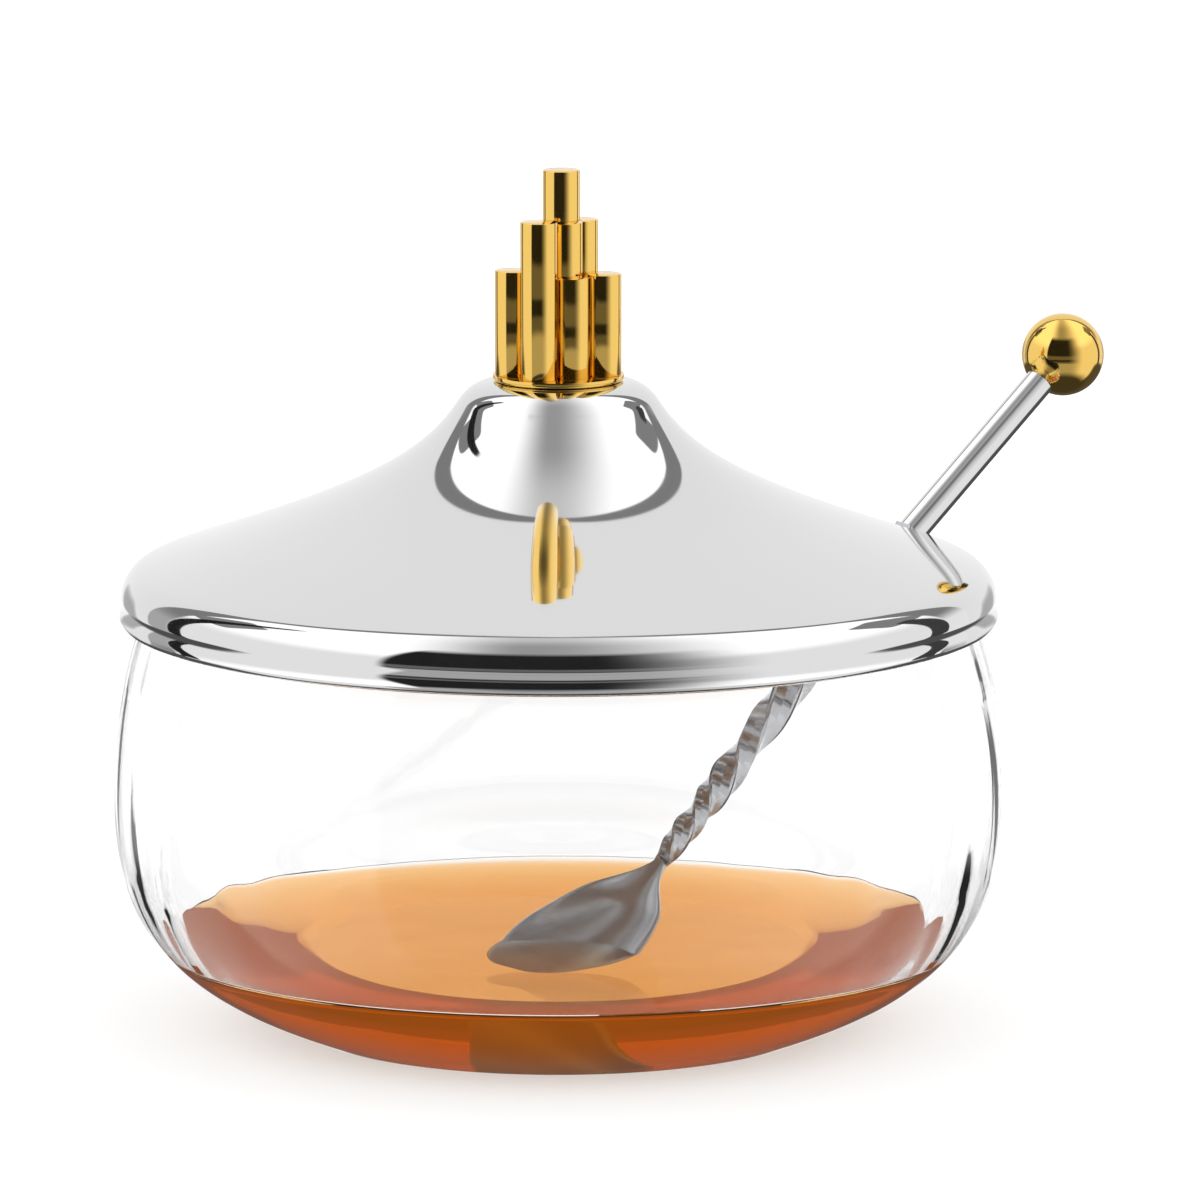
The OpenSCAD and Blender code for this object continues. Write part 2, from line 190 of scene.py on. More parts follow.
# In front the room is dark. It is black at the camera, with paler bands below, and fades to
# the right. Each band has the elevations between which it begins, and its level.
FRONT_LEFT_EDGE = (-49, -45)
FRONT_RIGHT_EDGE = (60, 10)
FRONT_TOP_EDGE = (58, 44)
FRONT_BLACK = 0.02
FRONT_BANDS = ((4, 1, 0.16), (-7, -8, 0.02), (-12, -13, 0.13), (-16, -19, 0.5))
front_turn = math_node(
    nodes, links, "MULTIPLY", soft_step(nodes, links, turn_from_front, *FRONT_LEFT_EDGE),
    soft_step(nodes, links, turn_from_front, *FRONT_RIGHT_EDGE))
front = math_node(
    nodes, links, "MULTIPLY", front_turn, soft_step(nodes, links, elevation, *FRONT_TOP_EDGE))
front_level = FRONT_BLACK
for upper, lower, level in FRONT_BANDS:
    front_level = blended(
        nodes, links, soft_step(nodes, links, elevation, upper, lower), front_level, level)
studio = blended(nodes, links, front, studio, front_level)

# Grey patches beside the panel, which darken the neck's upper corners and outline its mirror
PATCH_LEVEL = 0.28
for side in (-1, 1):
    studio = studio_field(studio, PATCH_LEVEL, turn_from_back, (60 * side, 11), (37, 8), soft=0.06)

# Upright flags at both sides of the backdrop, which give the lid's skirt its dark ends
studio = studio_field(studio, 0.5, turn_from_back, (-49, 7), (-8, 30), soft=0.2)
studio = studio_field(studio, 0.02, turn_from_back, (-60, 3.5), (5, 48), soft=0.05)
studio = studio_field(studio, 0.06, turn_from_back, (61, 4.5), (0, 32), soft=0.05)

# Behind the pot is the white backdrop, with a dark gap between it and the overhead panel
GAP_LEVEL = 0.26
GAP_EDGE = (0.54, 0.552)
GAP_LOW_EDGE = (8, 24)
BACKDROP_TAPER = 0.22
BACKDROP_EDGE = (0.558, 0.572)
gap = math_node(
    nodes, links, "MULTIPLY", soft_step(nodes, links, to_back, *GAP_EDGE),
    soft_step(nodes, links, elevation, *GAP_LOW_EDGE))
studio = blended(nodes, links, gap, studio, GAP_LEVEL)
sideways = math_node(nodes, links, "ABSOLUTE", to_right)
backdrop_reach = math_node(
    nodes, links, "SUBTRACT", to_back, math_node(nodes, links, "MULTIPLY", sideways, BACKDROP_TAPER))
backdrop = soft_step(nodes, links, backdrop_reach, *BACKDROP_EDGE)
studio = blended(nodes, links, backdrop, studio, 1.0)

# A grey field low on each side of the backdrop, and the pot's own shade under it
SHADE_LEVEL = 0.06
SHADE_EDGE = (-38, -60)
to_side = math_node(nodes, links, "ABSOLUTE", turn_from_back)
studio = studio_field(studio, 0.5, to_side, (25, 8), (-13, 14), soft=0.4, power=4)
studio = studio_field(studio, 0.1, to_side, (0, 78), (-44, 28))
studio = blended(nodes, links, soft_step(nodes, links, elevation, *SHADE_EDGE), studio, SHADE_LEVEL)

# Only mirrored rays see the studio. Matt surfaces are lit from the sides, and the camera and
# what shows through glass see white.
LIGHT_OVERHEAD = 0.2
LIGHT_AROUND = 2.3
OVERHEAD_EDGE = (60, 40)
WHITE_THROUGH_GLASS = 1.08
light_path = nodes.new("ShaderNodeLightPath")
table_light = blended(
    nodes, links, soft_step(nodes, links, elevation, *OVERHEAD_EDGE), LIGHT_OVERHEAD, LIGHT_AROUND)
sky = blended(nodes, links, light_path.outputs["Is Glossy Ray"], table_light, studio)
sky = blended(nodes, links, light_path.outputs["Is Transmission Ray"], sky, WHITE_THROUGH_GLASS)
sky = blended(nodes, links, light_path.outputs["Is Camera Ray"], sky, 1.0)
background = nodes.new("ShaderNodeBackground")
background.inputs["Color"].default_value = (1, 1, 1, 1)
links.new(sky, background.inputs["Strength"])
world_out = nodes.new("ShaderNodeOutputWorld")
links.new(background.outputs[0], world_out.inputs["Surface"])

# The table: a white sweep that runs on behind the pot as far as the camera sees. What shows
# through the glass has a painted glow, amber under the pot and white round it, which stands in
# for the light that leaves the honey. Its shadow is softened by half with a painted white glow,
# to the faint one that the picture has.
FLOOR_SIZE = 8.0
FLOOR_DROP = 0.15 * MM
PAINTED_GLOW_REACH = 57 * MM
PAINTED_GLOW_FADE = 12 * MM
SHARE_THROUGH_GLASS = 0.9
SHADOW_SOFTENED = 0.45


def deselect():
    bpy.ops.object.select_all(action="DESELECT")


def painted_glow(nodes):
    """A plain white painted glow: a light of the surface's own that no lamp gives."""
    glow = nodes.new("ShaderNodeEmission")
    glow.inputs["Color"].default_value = (1, 1, 1, 1)
    glow.inputs["Strength"].default_value = 1.0
    return glow


def mixed(nodes, links, share, shader, other):
    """Mixes two shaders; share is how much of the second one shows."""
    mix = nodes.new("ShaderNodeMixShader")
    links.new(share, mix.inputs[0])
    links.new(shader.outputs[0], mix.inputs[1])
    links.new(other.outputs[0], mix.inputs[2])
    return mix


deselect()
bpy.ops.mesh.primitive_plane_add(size=FLOOR_SIZE, location=(0, 0, -FLOOR_DROP))
table = bpy.context.object
table.name = "table"
table.visible_glossy = False
white = bpy.data.materials.new("white_sweep")
nodes, links = node_tree(white)
sweep = nodes.new("ShaderNodeBsdfDiffuse")
sweep.inputs["Color"].default_value = (1, 1, 1, 1)
from_middle = nodes.new("ShaderNodeVectorMath")
from_middle.operation = "LENGTH"
links.new(nodes.new("ShaderNodeTexCoord").outputs["Object"], from_middle.inputs[0])
under_pot = soft_step(nodes, links, from_middle.outputs["Value"], PAINTED_GLOW_REACH + PAINTED_GLOW_FADE, PAINTED_GLOW_REACH)
# Painted glow seen through the glass: amber under the pot, fading to white round it, in place of the
# lit table
glow_colour = nodes.new("ShaderNodeMix")
glow_colour.data_type = "RGBA"
links.new(under_pot, glow_colour.inputs[0])
glow_colour.inputs[6].default_value = (1, 1, 1, 1)
glow_colour.inputs[7].default_value = (1.0, 0.60, 0.21, 1)
painted_amber_glow = painted_glow(nodes)
links.new(glow_colour.outputs[2], painted_amber_glow.inputs["Color"])
seen_how = nodes.new("ShaderNodeLightPath")
through_glass = math_node(
    nodes, links, "MULTIPLY", seen_how.outputs["Is Transmission Ray"], SHARE_THROUGH_GLASS)
not_mirrored = math_node(nodes, links, "LESS_THAN", seen_how.outputs["Glossy Depth"], 0.5)
through_glass = math_node(nodes, links, "MULTIPLY", through_glass, not_mirrored)
# A painted white glow, seen by the camera, fills the table's shadow by about half
faint_shadow = math_node(nodes, links, "MULTIPLY", seen_how.outputs["Is Camera Ray"], SHADOW_SOFTENED)
lit_sweep = mixed(nodes, links, through_glass, sweep, painted_amber_glow)
soft_shadow = mixed(nodes, links, faint_shadow, lit_sweep, painted_glow(nodes))
sweep_out = nodes.new("ShaderNodeOutputMaterial")
links.new(soft_shadow.outputs[0], sweep_out.inputs["Surface"])
table.data.materials.append(white)
table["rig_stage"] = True

# The camera looks down at the pot by 10 degrees, from far away through a long lens, as the
# picture does.
CAMERA_PLACE = (0.0056, -1.6742, 0.35325)
LOOKING_DOWN = 10.0
LENS_MM = 376.9
SENSOR_MM = 36.0
lens = bpy.data.cameras.new("camera")
lens.lens = LENS_MM
lens.sensor_width = SENSOR_MM
camera = bpy.data.objects.new("camera", lens)
camera.location = CAMERA_PLACE
camera.rotation_euler = (math.radians(90 - LOOKING_DOWN), 0, 0)
bpy.context.scene.collection.objects.link(camera)
bpy.context.scene.camera = camera
bpy.context.scene.view_settings.view_transform = "Standard"


# The bowl: one thick piece of clear soda glass, blown in a mould and fire-polished. The
# mould's ribs have all but melted away, and leave soft upright waves in the wall.
def turned(name, outline, steps):
    """Spins an outline of (radius, height) points once round the upright axis."""
    deselect()
    first = outline[0]
    bpy.ops.mesh.primitive_plane_add(size=MM, location=(first[0], 0, first[1]))
    piece = bpy.context.object
    piece.name = name
    bpy.ops.object.mode_set(mode="EDIT")
    bpy.ops.mesh.select_all(action="SELECT")
    bpy.ops.mesh.merge(type="CENTER")
    for start, end in zip(outline, outline[1:]):
        step = (end[0] - start[0], 0, end[1] - start[1])
        bpy.ops.mesh.extrude_region_move(TRANSFORM_OT_translate={"value": step})
    bpy.ops.mesh.select_all(action="SELECT")
    bpy.ops.mesh.spin(steps=steps, angle=math.tau, center=(0, 0, 0), axis=(0, 0, 1))
    bpy.ops.mesh.select_all(action="SELECT")
    bpy.ops.mesh.remove_doubles(threshold=0.002 * MM)
    bpy.ops.mesh.normals_make_consistent(inside=False)
    bpy.ops.object.mode_set(mode="OBJECT")
    bpy.ops.object.transform_apply(location=True, rotation=True, scale=True)
    bpy.ops.object.shade_smooth()
    return piece


def curve(start, out, back, end, steps):
    """Points on a cubic curve from start to end, with handles out and back."""
    points = []
    for i in range(steps + 1):
        t = i / steps
        s = 1 - t
        points.append(tuple(
            s ** 3 * a + 3 * s * s * t * b + 3 * s * t * t * c + t ** 3 * d
            for a, b, c, d in zip(start, out, back, end)))
    return points


def arc(centre, radius, start, end, steps):
    """Points on a round arc, with its angles in degrees."""
    turns = [math.radians(start + (end - start) * i / steps) for i in range(steps + 1)]
    return [(centre[0] + radius * math.cos(t), centre[1] + radius * math.sin(t)) for t in turns]


def new_material(name):
    """Makes a material with a Principled shader that is ready to be set up."""
    material = bpy.data.materials.new(name)
    nodes, links = node_tree(material)
    shader = nodes.new("ShaderNodeBsdfPrincipled")
    out = nodes.new("ShaderNodeOutputMaterial")
    links.new(shader.outputs[0], out.inputs["Surface"])
    return material, nodes, links, shader, out


GLASS_IOR = 1.51
HONEY_IOR = 1.49
SHADOW_IOR = 1.5
PASSED_SQUARE_ON = 0.99
PASSED_AT_EDGES = 0.1


def lets_light_through(nodes, links, shader, out):
    """Makes shadow rays pass the surface, weakened only by what it mirrors away."""
    mirrored = nodes.new("ShaderNodeFresnel")
    mirrored.inputs["IOR"].default_value = SHADOW_IOR
    passed = nodes.new("ShaderNodeMix")
    passed.data_type = "RGBA"
    passed.inputs[6].default_value = (PASSED_SQUARE_ON, PASSED_SQUARE_ON, PASSED_SQUARE_ON, 1)
    passed.inputs[7].default_value = (PASSED_AT_EDGES, PASSED_AT_EDGES, PASSED_AT_EDGES, 1)
    links.new(mirrored.outputs[0], passed.inputs[0])
    window = nodes.new("ShaderNodeBsdfTransparent")
    links.new(passed.outputs[2], window.inputs["Color"])
    path = nodes.new("ShaderNodeLightPath")
    choice = mixed(nodes, links, path.outputs["Is Shadow Ray"], shader, window)
    links.new(choice.outputs[0], out.inputs["Surface"])


def clear_material(name, bending):
    """Makes a smooth clear material; bending is its refractive index."""
    material, nodes, links, shader, out = new_material(name)
    shader.inputs["Base Color"].default_value = (1, 1, 1, 1)
    shader.inputs["Transmission Weight"].default_value = 1.0
    shader.inputs["Roughness"].default_value = 0.0
    shader.inputs["IOR"].default_value = bending
    return material, nodes, links, shader, out


def facing_up(nodes, links):
    """1 where the surface faces upwards, from whichever side a ray meets it, and 0 elsewhere."""
    place = nodes.new("ShaderNodeNewGeometry")
    normal = nodes.new("ShaderNodeSeparateXYZ")
    links.new(place.outputs["Normal"], normal.inputs[0])
    side = math_node(nodes, links, "MULTIPLY_ADD", place.outputs["Backfacing"], -2, 1)
    upright = math_node(nodes, links, "MULTIPLY", normal.outputs["Z"], side)
    return math_node(nodes, links, "GREATER_THAN", upright, 0)


def surface_noise(nodes, links, scale, stretch=(1, 1, 1), detail=3.0):
    """A noise pattern on the piece's own coordinates, in cycles per metre."""
    place = nodes.new("ShaderNodeTexCoord")
    mapping = nodes.new("ShaderNodeMapping")
    mapping.inputs["Scale"].default_value = stretch
    links.new(place.outputs["Object"], mapping.inputs["Vector"])
    noise = nodes.new("ShaderNodeTexNoise")
    noise.inputs["Scale"].default_value = scale
    noise.inputs["Detail"].default_value = detail
    links.new(mapping.outputs[0], noise.inputs["Vector"])
    return noise.outputs["Fac"]


def between(nodes, links, value, low, high):
    """Spreads a 0 to 1 value over the range from low to high."""
    node = nodes.new("ShaderNodeMapRange")
    links.new(value, node.inputs["Value"])
    node.inputs["From Min"].default_value = 0.3
    node.inputs["From Max"].default_value = 0.7
    node.inputs["To Min"].default_value = low
    node.inputs["To Max"].default_value = high
    return node.outputs["Result"]


def relief(nodes, links, height, depth, shader, under=None):
    """Raises the surface by a height pattern, depth metres high."""
    bump = nodes.new("ShaderNodeBump")
    bump.inputs["Strength"].default_value = 1.0
    bump.inputs["Distance"].default_value = depth
    links.new(height, bump.inputs["Height"])
    if under is not None:
        links.new(under, bump.inputs["Normal"])
    links.new(bump.outputs[0], shader.inputs["Normal"])
    return bump.outputs[0]


bowl_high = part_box("glass_bowl")[1]
bowl_r = bowl_high.x
rim_top = bowl_high.z
WALL = 2.6 * MM
BASE = 4.6 * MM
WALL_REACH = 0.65
FLOOR_REACH = 0.62
BELLY = (bowl_r, 32.2 * MM)
FOOT = (36.5 * MM, 0.4 * MM)
FOOT_SLOPE = math.radians(21)
FLOOR_EDGE = 32 * MM
SHOULDER_CURVE = 73.2 * MM
shoulder_centre = (bowl_r - SHOULDER_CURVE, BELLY[1])
rim_turn = math.degrees(math.asin((rim_top - WALL / 2 - BELLY[1]) / (SHOULDER_CURVE - WALL / 2)))
rim_mid = (
    shoulder_centre[0] + (SHOULDER_CURVE - WALL / 2) * math.cos(math.radians(rim_turn)),
    shoulder_centre[1] + (SHOULDER_CURVE - WALL / 2) * math.sin(math.radians(rim_turn)))


def inner_wall(gap, steps):
    """The inner outline of the glass from the belly down to the edge of its floor."""
    radius = bowl_r - WALL + gap
    floor_z = BASE - gap
    return curve(
        (radius, BELLY[1]),
        (radius, BELLY[1] - WALL_REACH * (BELLY[1] - BASE)),
        (FLOOR_EDGE + FLOOR_REACH * (bowl_r - WALL - FLOOR_EDGE), floor_z),
        (FLOOR_EDGE, floor_z),
        steps)


FOOT_REACH = 0.64 * (bowl_r - FOOT[0])
BELLY_REACH = 0.62 * BELLY[1]
REST_RING = 33 * MM
outer_low = curve(
    FOOT,
    (FOOT[0] + FOOT_REACH * math.cos(FOOT_SLOPE), FOOT[1] + FOOT_REACH * math.sin(FOOT_SLOPE)),
    (bowl_r, BELLY[1] - BELLY_REACH),
    BELLY,
    40)
outer_high = arc(shoulder_centre, SHOULDER_CURVE, 0, rim_turn, 24)
rim_round = arc(rim_mid, WALL / 2, rim_turn, rim_turn + 180, 12)
inner_high = arc(shoulder_centre, SHOULDER_CURVE - WALL, rim_turn, 0, 24)
underside = [(0, 0), (18 * MM, 0), (REST_RING, 0), (FOOT[0] - 0.9 * MM, 0.02 * MM)]
glass_floor = [(FLOOR_EDGE / 2, BASE), (0, BASE)]
glass_outline = (
    underside + outer_low + outer_high[1:] + rim_round[1:] + inner_high[1:]
    + inner_wall(0, 44)[1:] + glass_floor)
bowl = turned("blown_bowl", glass_outline, 240)

# Soft upright waves in the wall, strongest at the mould's two seams, left and right
RIBS = 34
WAVE_INSIDE = 0.11 * MM
WAVE_OUTSIDE = -0.04 * MM
LEAST_WAVE = 0.06
SEAM_SHARPNESS = 5
WAVE_FADE = 0.7
for vertex in bowl.data.vertices:
    x, y, z = vertex.co
    reach = math.hypot(x, y)
    if reach < FLOOR_EDGE:
        continue
    turn = math.atan2(y, x)
    up_the_wall = min(1, max(0, (z - 2 * MM) / (rim_top - 3 * MM)))
    fade = math.sin(math.pi * up_the_wall) ** WAVE_FADE
    seam = LEAST_WAVE + (1 - LEAST_WAVE) * abs(math.cos(turn)) ** SEAM_SHARPNESS
    inside = reach < bowl_r - 0.6 * WALL and z > BASE * 0.9
    lean = 0.35 * math.sin(z * 140 + 2 * turn)
    wave = math.sin(RIBS * turn + lean)
    wave += 0.6 * math.sin(RIBS / 2 * turn - 1.7 + 3 * lean)
    wave += 0.4 * math.sin(RIBS * 1.5 * turn + z * 90)
    push = (WAVE_INSIDE if inside else WAVE_OUTSIDE) * wave * fade * seam
    vertex.co.x -= push * math.cos(turn)
    vertex.co.y -= push * math.sin(turn)

clear_glass, nodes, links, shader, out = clear_material("clear_glass", GLASS_IOR)
waves = surface_noise(nodes, links, 60, stretch=(1, 1, 0.25), detail=1.0)
relief(nodes, links, waves, 0.03 * MM, shader)

# Where honey wets the glass there is no mirror between them, so the inner face is left clear
height = nodes.new("ShaderNodeSeparateXYZ")
links.new(nodes.new("ShaderNodeTexCoord").outputs["Object"], height.inputs[0])
CREEP_UP = 0.6 * MM
honey_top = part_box("honey")[1].z
low = math_node(nodes, links, "LESS_THAN", height.outputs["Z"], honey_top + CREEP_UP)
wetted = math_node(nodes, links, "MULTIPLY", low, facing_up(nodes, links))
surface = mixed(nodes, links, wetted, shader, nodes.new("ShaderNodeBsdfTransparent"))
lets_light_through(nodes, links, surface, out)
bowl.data.materials.append(clear_glass)
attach(bowl, "root")
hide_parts("glass_bowl")

# The honey: a shallow fill of clear amber honey that wets the glass and creeps up it a little.
# It takes the room of the plain solid, without that solid's pocket for the spoon.
WETTING = 0.25 * MM
CREEP_IN = 0.9 * MM
wall_line = inner_wall(WETTING, 160)
under_top = [point for point in wall_line if point[1] <= honey_top + CREEP_UP]
edge = under_top[0]
meniscus = []
MENISCUS_STEPS = 16
for i in range(MENISCUS_STEPS + 1):
    inwards = 6 * CREEP_IN * (1 - i / MENISCUS_STEPS) ** 1.6
    rise = (edge[1] - honey_top) * math.exp(-inwards / CREEP_IN)
    meniscus.append((edge[0] - inwards, honey_top + rise))
honey_outline = (
    [(0, BASE - WETTING), (FLOOR_EDGE / 2, BASE - WETTING)]
    + under_top[::-1][:-1] + meniscus[::-1]
    + [(edge[0] * share, honey_top) for share in (0.7, 0.5, 0.3, 0.15)] + [(0, honey_top)])
honey = turned("honey_fill", honey_outline, 192)

amber, nodes, links, shader, out = clear_material("amber_honey", HONEY_IOR)
ripples = surface_noise(nodes, links, 70, detail=1.0)
relief(nodes, links, ripples, 0.05 * MM, shader)

# Its top mirrors little from above. Against the glass it has no surface of its own.
MIRROR_LOST = 0.94
side = nodes.new("ShaderNodeNewGeometry")
from_outside = math_node(nodes, links, "SUBTRACT", 1, side.outputs["Backfacing"])
less_mirror = math_node(nodes, links, "MULTIPLY", from_outside, MIRROR_LOST)
bent = nodes.new("ShaderNodeBsdfRefraction")
bent.inputs["Roughness"].default_value = 0.0
bent.inputs["IOR"].default_value = HONEY_IOR
surface = mixed(nodes, links, less_mirror, shader, bent)
against_glass = math_node(nodes, links, "SUBTRACT", 1, facing_up(nodes, links))
surface = mixed(nodes, links, against_glass, surface, nodes.new("ShaderNodeBsdfTransparent"))
lets_light_through(nodes, links, surface, out)

# Honey swallows blue at once and green soon. A painted amber glow in it stands in for the light it
# scatters
absorb = nodes.new("ShaderNodeVolumeAbsorption")
absorb.inputs["Color"].default_value = (0.78, 0.51, 0.0, 1)
absorb.inputs["Density"].default_value = 118.0
# Painted glow: the volume emits amber light of its own, in place of light scattered in the honey
painted_scatter_glow = nodes.new("ShaderNodeEmission")
painted_scatter_glow.inputs["Color"].default_value = (1.0, 0.36, 0.02, 1)
painted_scatter_glow.inputs["Strength"].default_value = 12.0
absorbed_and_painted_glow = nodes.new("ShaderNodeAddShader")
links.new(absorb.outputs[0], absorbed_and_painted_glow.inputs[0])
links.new(painted_scatter_glow.outputs[0], absorbed_and_painted_glow.inputs[1])
links.new(absorbed_and_painted_glow.outputs[0], out.inputs["Volume"])
honey.data.materials.append(amber)
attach(honey, "root")
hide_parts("honey")

# The lid: one disc of stainless sheet spun over a former and mirror polished, with a rolled
# bead round its lower edge, a turned-in lip and a slot cut for the spoon.
lid_low, lid_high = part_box("lid_shell")
lid_foot = lid_low.z
lid_top = lid_high.z
BEAD = 0.8 * MM
BEAD_SWELL = 0.25 * MM
SHEET = 0.9 * MM
skirt_r = -lid_low.y - BEAD_SWELL
NECK_TURN = 5.9 * MM
NECK_R = 13.5 * MM
NECK_SLOPE = math.radians(57)
NECK_PULL = 5.0 * MM
FLARE_END = (30 * MM, lid_top - 15.24 * MM)
FLARE_SLOPE = math.radians(24.9)
FLARE_PULL_UP = 11 * MM
FLARE_PULL_DOWN = 13.8 * MM
SHOULDER_START = (57.1 * MM, lid_top - 25.68 * MM)
SHOULDER_SLOPE = math.radians(33)
SHOULDER_PULL = 2.3 * MM
SKIRT_HOLLOW = 0.3 * MM
SKIRT_PULL = 0.9 * MM
BEAD_PULL = 0.8 * MM
LIP_WIDTH = 2.25 * MM
STUD_HOLE = 2.02 * MM


def downhill(point, slope, distance):
    """The place reached from a point by going outwards and down a slope; minus goes back up."""
    return (point[0] + distance * math.cos(slope), point[1] - distance * math.sin(slope))


neck_mid = (NECK_R - NECK_TURN * math.sin(NECK_SLOPE), lid_top - NECK_TURN)
neck_edge = arc(neck_mid, NECK_TURN, 90, 90 - math.degrees(NECK_SLOPE), 20)
flare = curve(
    neck_edge[-1], downhill(neck_edge[-1], NECK_SLOPE, NECK_PULL),
    downhill(FLARE_END, FLARE_SLOPE, -FLARE_PULL_UP), FLARE_END, 44)
brim = curve(
    FLARE_END, downhill(FLARE_END, FLARE_SLOPE, FLARE_PULL_DOWN),
    downhill(SHOULDER_START, SHOULDER_SLOPE, -SHOULDER_PULL), SHOULDER_START, 50)
shoulder_turn = (skirt_r - SHOULDER_START[0]) / (1 - math.sin(SHOULDER_SLOPE))
turn_mid = (skirt_r - shoulder_turn, SHOULDER_START[1] - shoulder_turn * math.cos(SHOULDER_SLOPE))
shoulder = arc(turn_mid, shoulder_turn, 90 - math.degrees(SHOULDER_SLOPE), 0, 24)
bead_mid = (skirt_r + BEAD_SWELL - BEAD, lid_foot + BEAD)
skirt = curve(
    (skirt_r, turn_mid[1]),
    (skirt_r - SKIRT_HOLLOW, turn_mid[1] - SKIRT_PULL),
    (skirt_r - SKIRT_HOLLOW, bead_mid[1] + BEAD_PULL),
    (skirt_r + BEAD_SWELL, bead_mid[1]),
    14)
bead = arc(bead_mid, BEAD, 0, -90, 10)
top_face = [(STUD_HOLE + (neck_mid[0] - STUD_HOLE) * share, lid_top) for share in (0, 0.5)]
lid_outside = top_face + neck_edge + flare[1:] + brim[1:] + shoulder[1:] + skirt[1:]


def set_in(path, depth):
    """The same path moved to its inner side."""
    moved = []
    for i, point in enumerate(path):
        before = path[max(i - 1, 0)]
        after = path[min(i + 1, len(path) - 1)]
        along = Vector((after[0] - before[0], after[1] - before[1])).normalized()
        moved.append((point[0] + along.y * depth, point[1] - along.x * depth))
    return moved


lip_r = skirt_r - LIP_WIDTH
lid_inside = [point for point in set_in(lid_outside, SHEET) if point[1] > lid_foot + BEAD]
lid_outline = (
    lid_outside + bead[1:] + [(lip_r, lid_foot), (lip_r, lid_foot + BEAD)]
    + lid_inside[::-1] + [lid_outside[0]])
lid = turned("spun_lid", lid_outline, 288)

# The slot for the spoon's handle, round at its inner end and open through the rim
STEM_TURN = math.radians(38.8)
EXIT = (48.94 * MM, 26.57 * MM)
NOTCH_HALF = 2.9 * MM
NOTCH_BACK = 6 * MM
NOTCH_REACH = 20 * MM
CUTTER_HEIGHT = 70 * MM
deselect()
bpy.ops.mesh.primitive_cylinder_add(
    vertices=48, radius=NOTCH_HALF, depth=2 * NOTCH_REACH, location=(0, 0, 0))
notch = bpy.context.object
notch.name = "notch_cutter"
for vertex in notch.data.vertices:
    if vertex.co.x > 0.1 * NOTCH_HALF:
        vertex.co.y = math.copysign(NOTCH_HALF, vertex.co.y) if abs(vertex.co.y) > 1e-6 else 0
        vertex.co.x += NOTCH_REACH
notch.data.transform(
    Matrix.Translation((EXIT[0], EXIT[1], CUTTER_HEIGHT)) @ Matrix.Rotation(STEM_TURN, 4, "Z")
    @ Matrix.Translation((NOTCH_HALF - NOTCH_BACK, 0, 0)))
deselect()
lid.select_set(True)
bpy.context.view_layer.objects.active = lid
cut = lid.modifiers.new("notch", "BOOLEAN")
cut.operation = "DIFFERENCE"
cut.solver = "EXACT"
cut.object = notch
bpy.ops.object.modifier_apply(modifier=cut.name)
bpy.data.objects.remove(notch)
bpy.ops.object.shade_smooth_by_angle(angle=math.radians(35))


def metal(name, colour, roughness, haze):
    """Makes a bare metal whose roughness varies with its haze, between two values."""
    material, nodes, links, shader, out = new_material(name)
    shader.inputs["Base Color"].default_value = (*colour, 1)
    shader.inputs["Metallic"].default_value = 1.0
    pattern = surface_noise(nodes, links, **haze)
    links.new(between(nodes, links, pattern, *roughness), shader.inputs["Roughness"])
    return material, nodes, links, shader


# The bell swells a little between its neck and its brim. Only its mirror image shows it, so
# the swell is a slope in the finish and not in the outline.
SWELL_START = 20 * MM
SWELL_END = 48 * MM
SWELL_HEIGHT = 1.25 * MM
polished_steel, nodes, links, shader = metal(
    "polished_steel", (0.70, 0.70, 0.70), (0.02, 0.06), {"scale": 90, "detail": 4.0})
flat = nodes.new("ShaderNodeVectorMath")
flat.operation = "MULTIPLY"
flat.inputs[1].default_value = (1, 1, 0)
links.new(nodes.new("ShaderNodeTexCoord").outputs["Object"], flat.inputs[0])
reach = nodes.new("ShaderNodeVectorMath")
reach.operation = "LENGTH"
links.new(flat.outputs[0], reach.inputs[0])
swell = soft_step(nodes, links, reach.outputs["Value"], SWELL_START, SWELL_END)
spun = relief(nodes, links, swell, SWELL_HEIGHT, shader)
faint = surface_noise(nodes, links, 45, detail=1.0)
relief(nodes, links, faint, 0.02 * MM, shader, under=spun)
lid.data.materials.append(polished_steel)
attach(lid, "lid")
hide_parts("lid_shell")


# The finial: nine gilt brass rods of one size, sawn to four heights, faced off, nested and
# brazed upright on a thin gilt disc.
def softened_copy(node, name, width, segments=2, angle=35):
    """Copies a node's mesh, closes its seams and rounds its sharp edges."""
    deselect()
    piece = frame["nodes"][node].copy()
    piece.data = frame["nodes"][node].data.copy()
    piece.name = name
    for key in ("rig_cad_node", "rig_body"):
        if key in piece:
            del piece[key]
    piece.parent = None
    bpy.context.scene.collection.objects.link(piece)
    piece.select_set(True)
    bpy.context.view_layer.objects.active = piece
    bpy.ops.object.mode_set(mode="EDIT")
    bpy.ops.mesh.select_all(action="SELECT")
    bpy.ops.mesh.remove_doubles(threshold=0.001 * MM)
    bpy.ops.mesh.customdata_custom_splitnormals_clear()
    bpy.ops.mesh.dissolve_limited(angle_limit=math.radians(0.4))
    bpy.ops.object.mode_set(mode="OBJECT")
    piece.data.materials.clear()
    edge = piece.modifiers.new("soft_edge", "BEVEL")
    edge.width = width
    edge.segments = segments
    edge.limit_method = "ANGLE"
    edge.angle_limit = math.radians(angle)
    edge.harden_normals = False
    bpy.ops.object.modifier_apply(modifier=edge.name)
    bpy.ops.object.shade_smooth_by_angle(angle=math.radians(40))
    return piece


gilt, nodes, links, shader = metal(
    "gilt_brass", (0.86, 0.56, 0.14), (0.03, 0.10),
    {"scale": 260, "stretch": (1, 1, 0.3), "detail": 3.0})
grain = surface_noise(nodes, links, 500, stretch=(1, 1, 0.1), detail=2.0)
relief(nodes, links, grain, 0.002 * MM, shader)

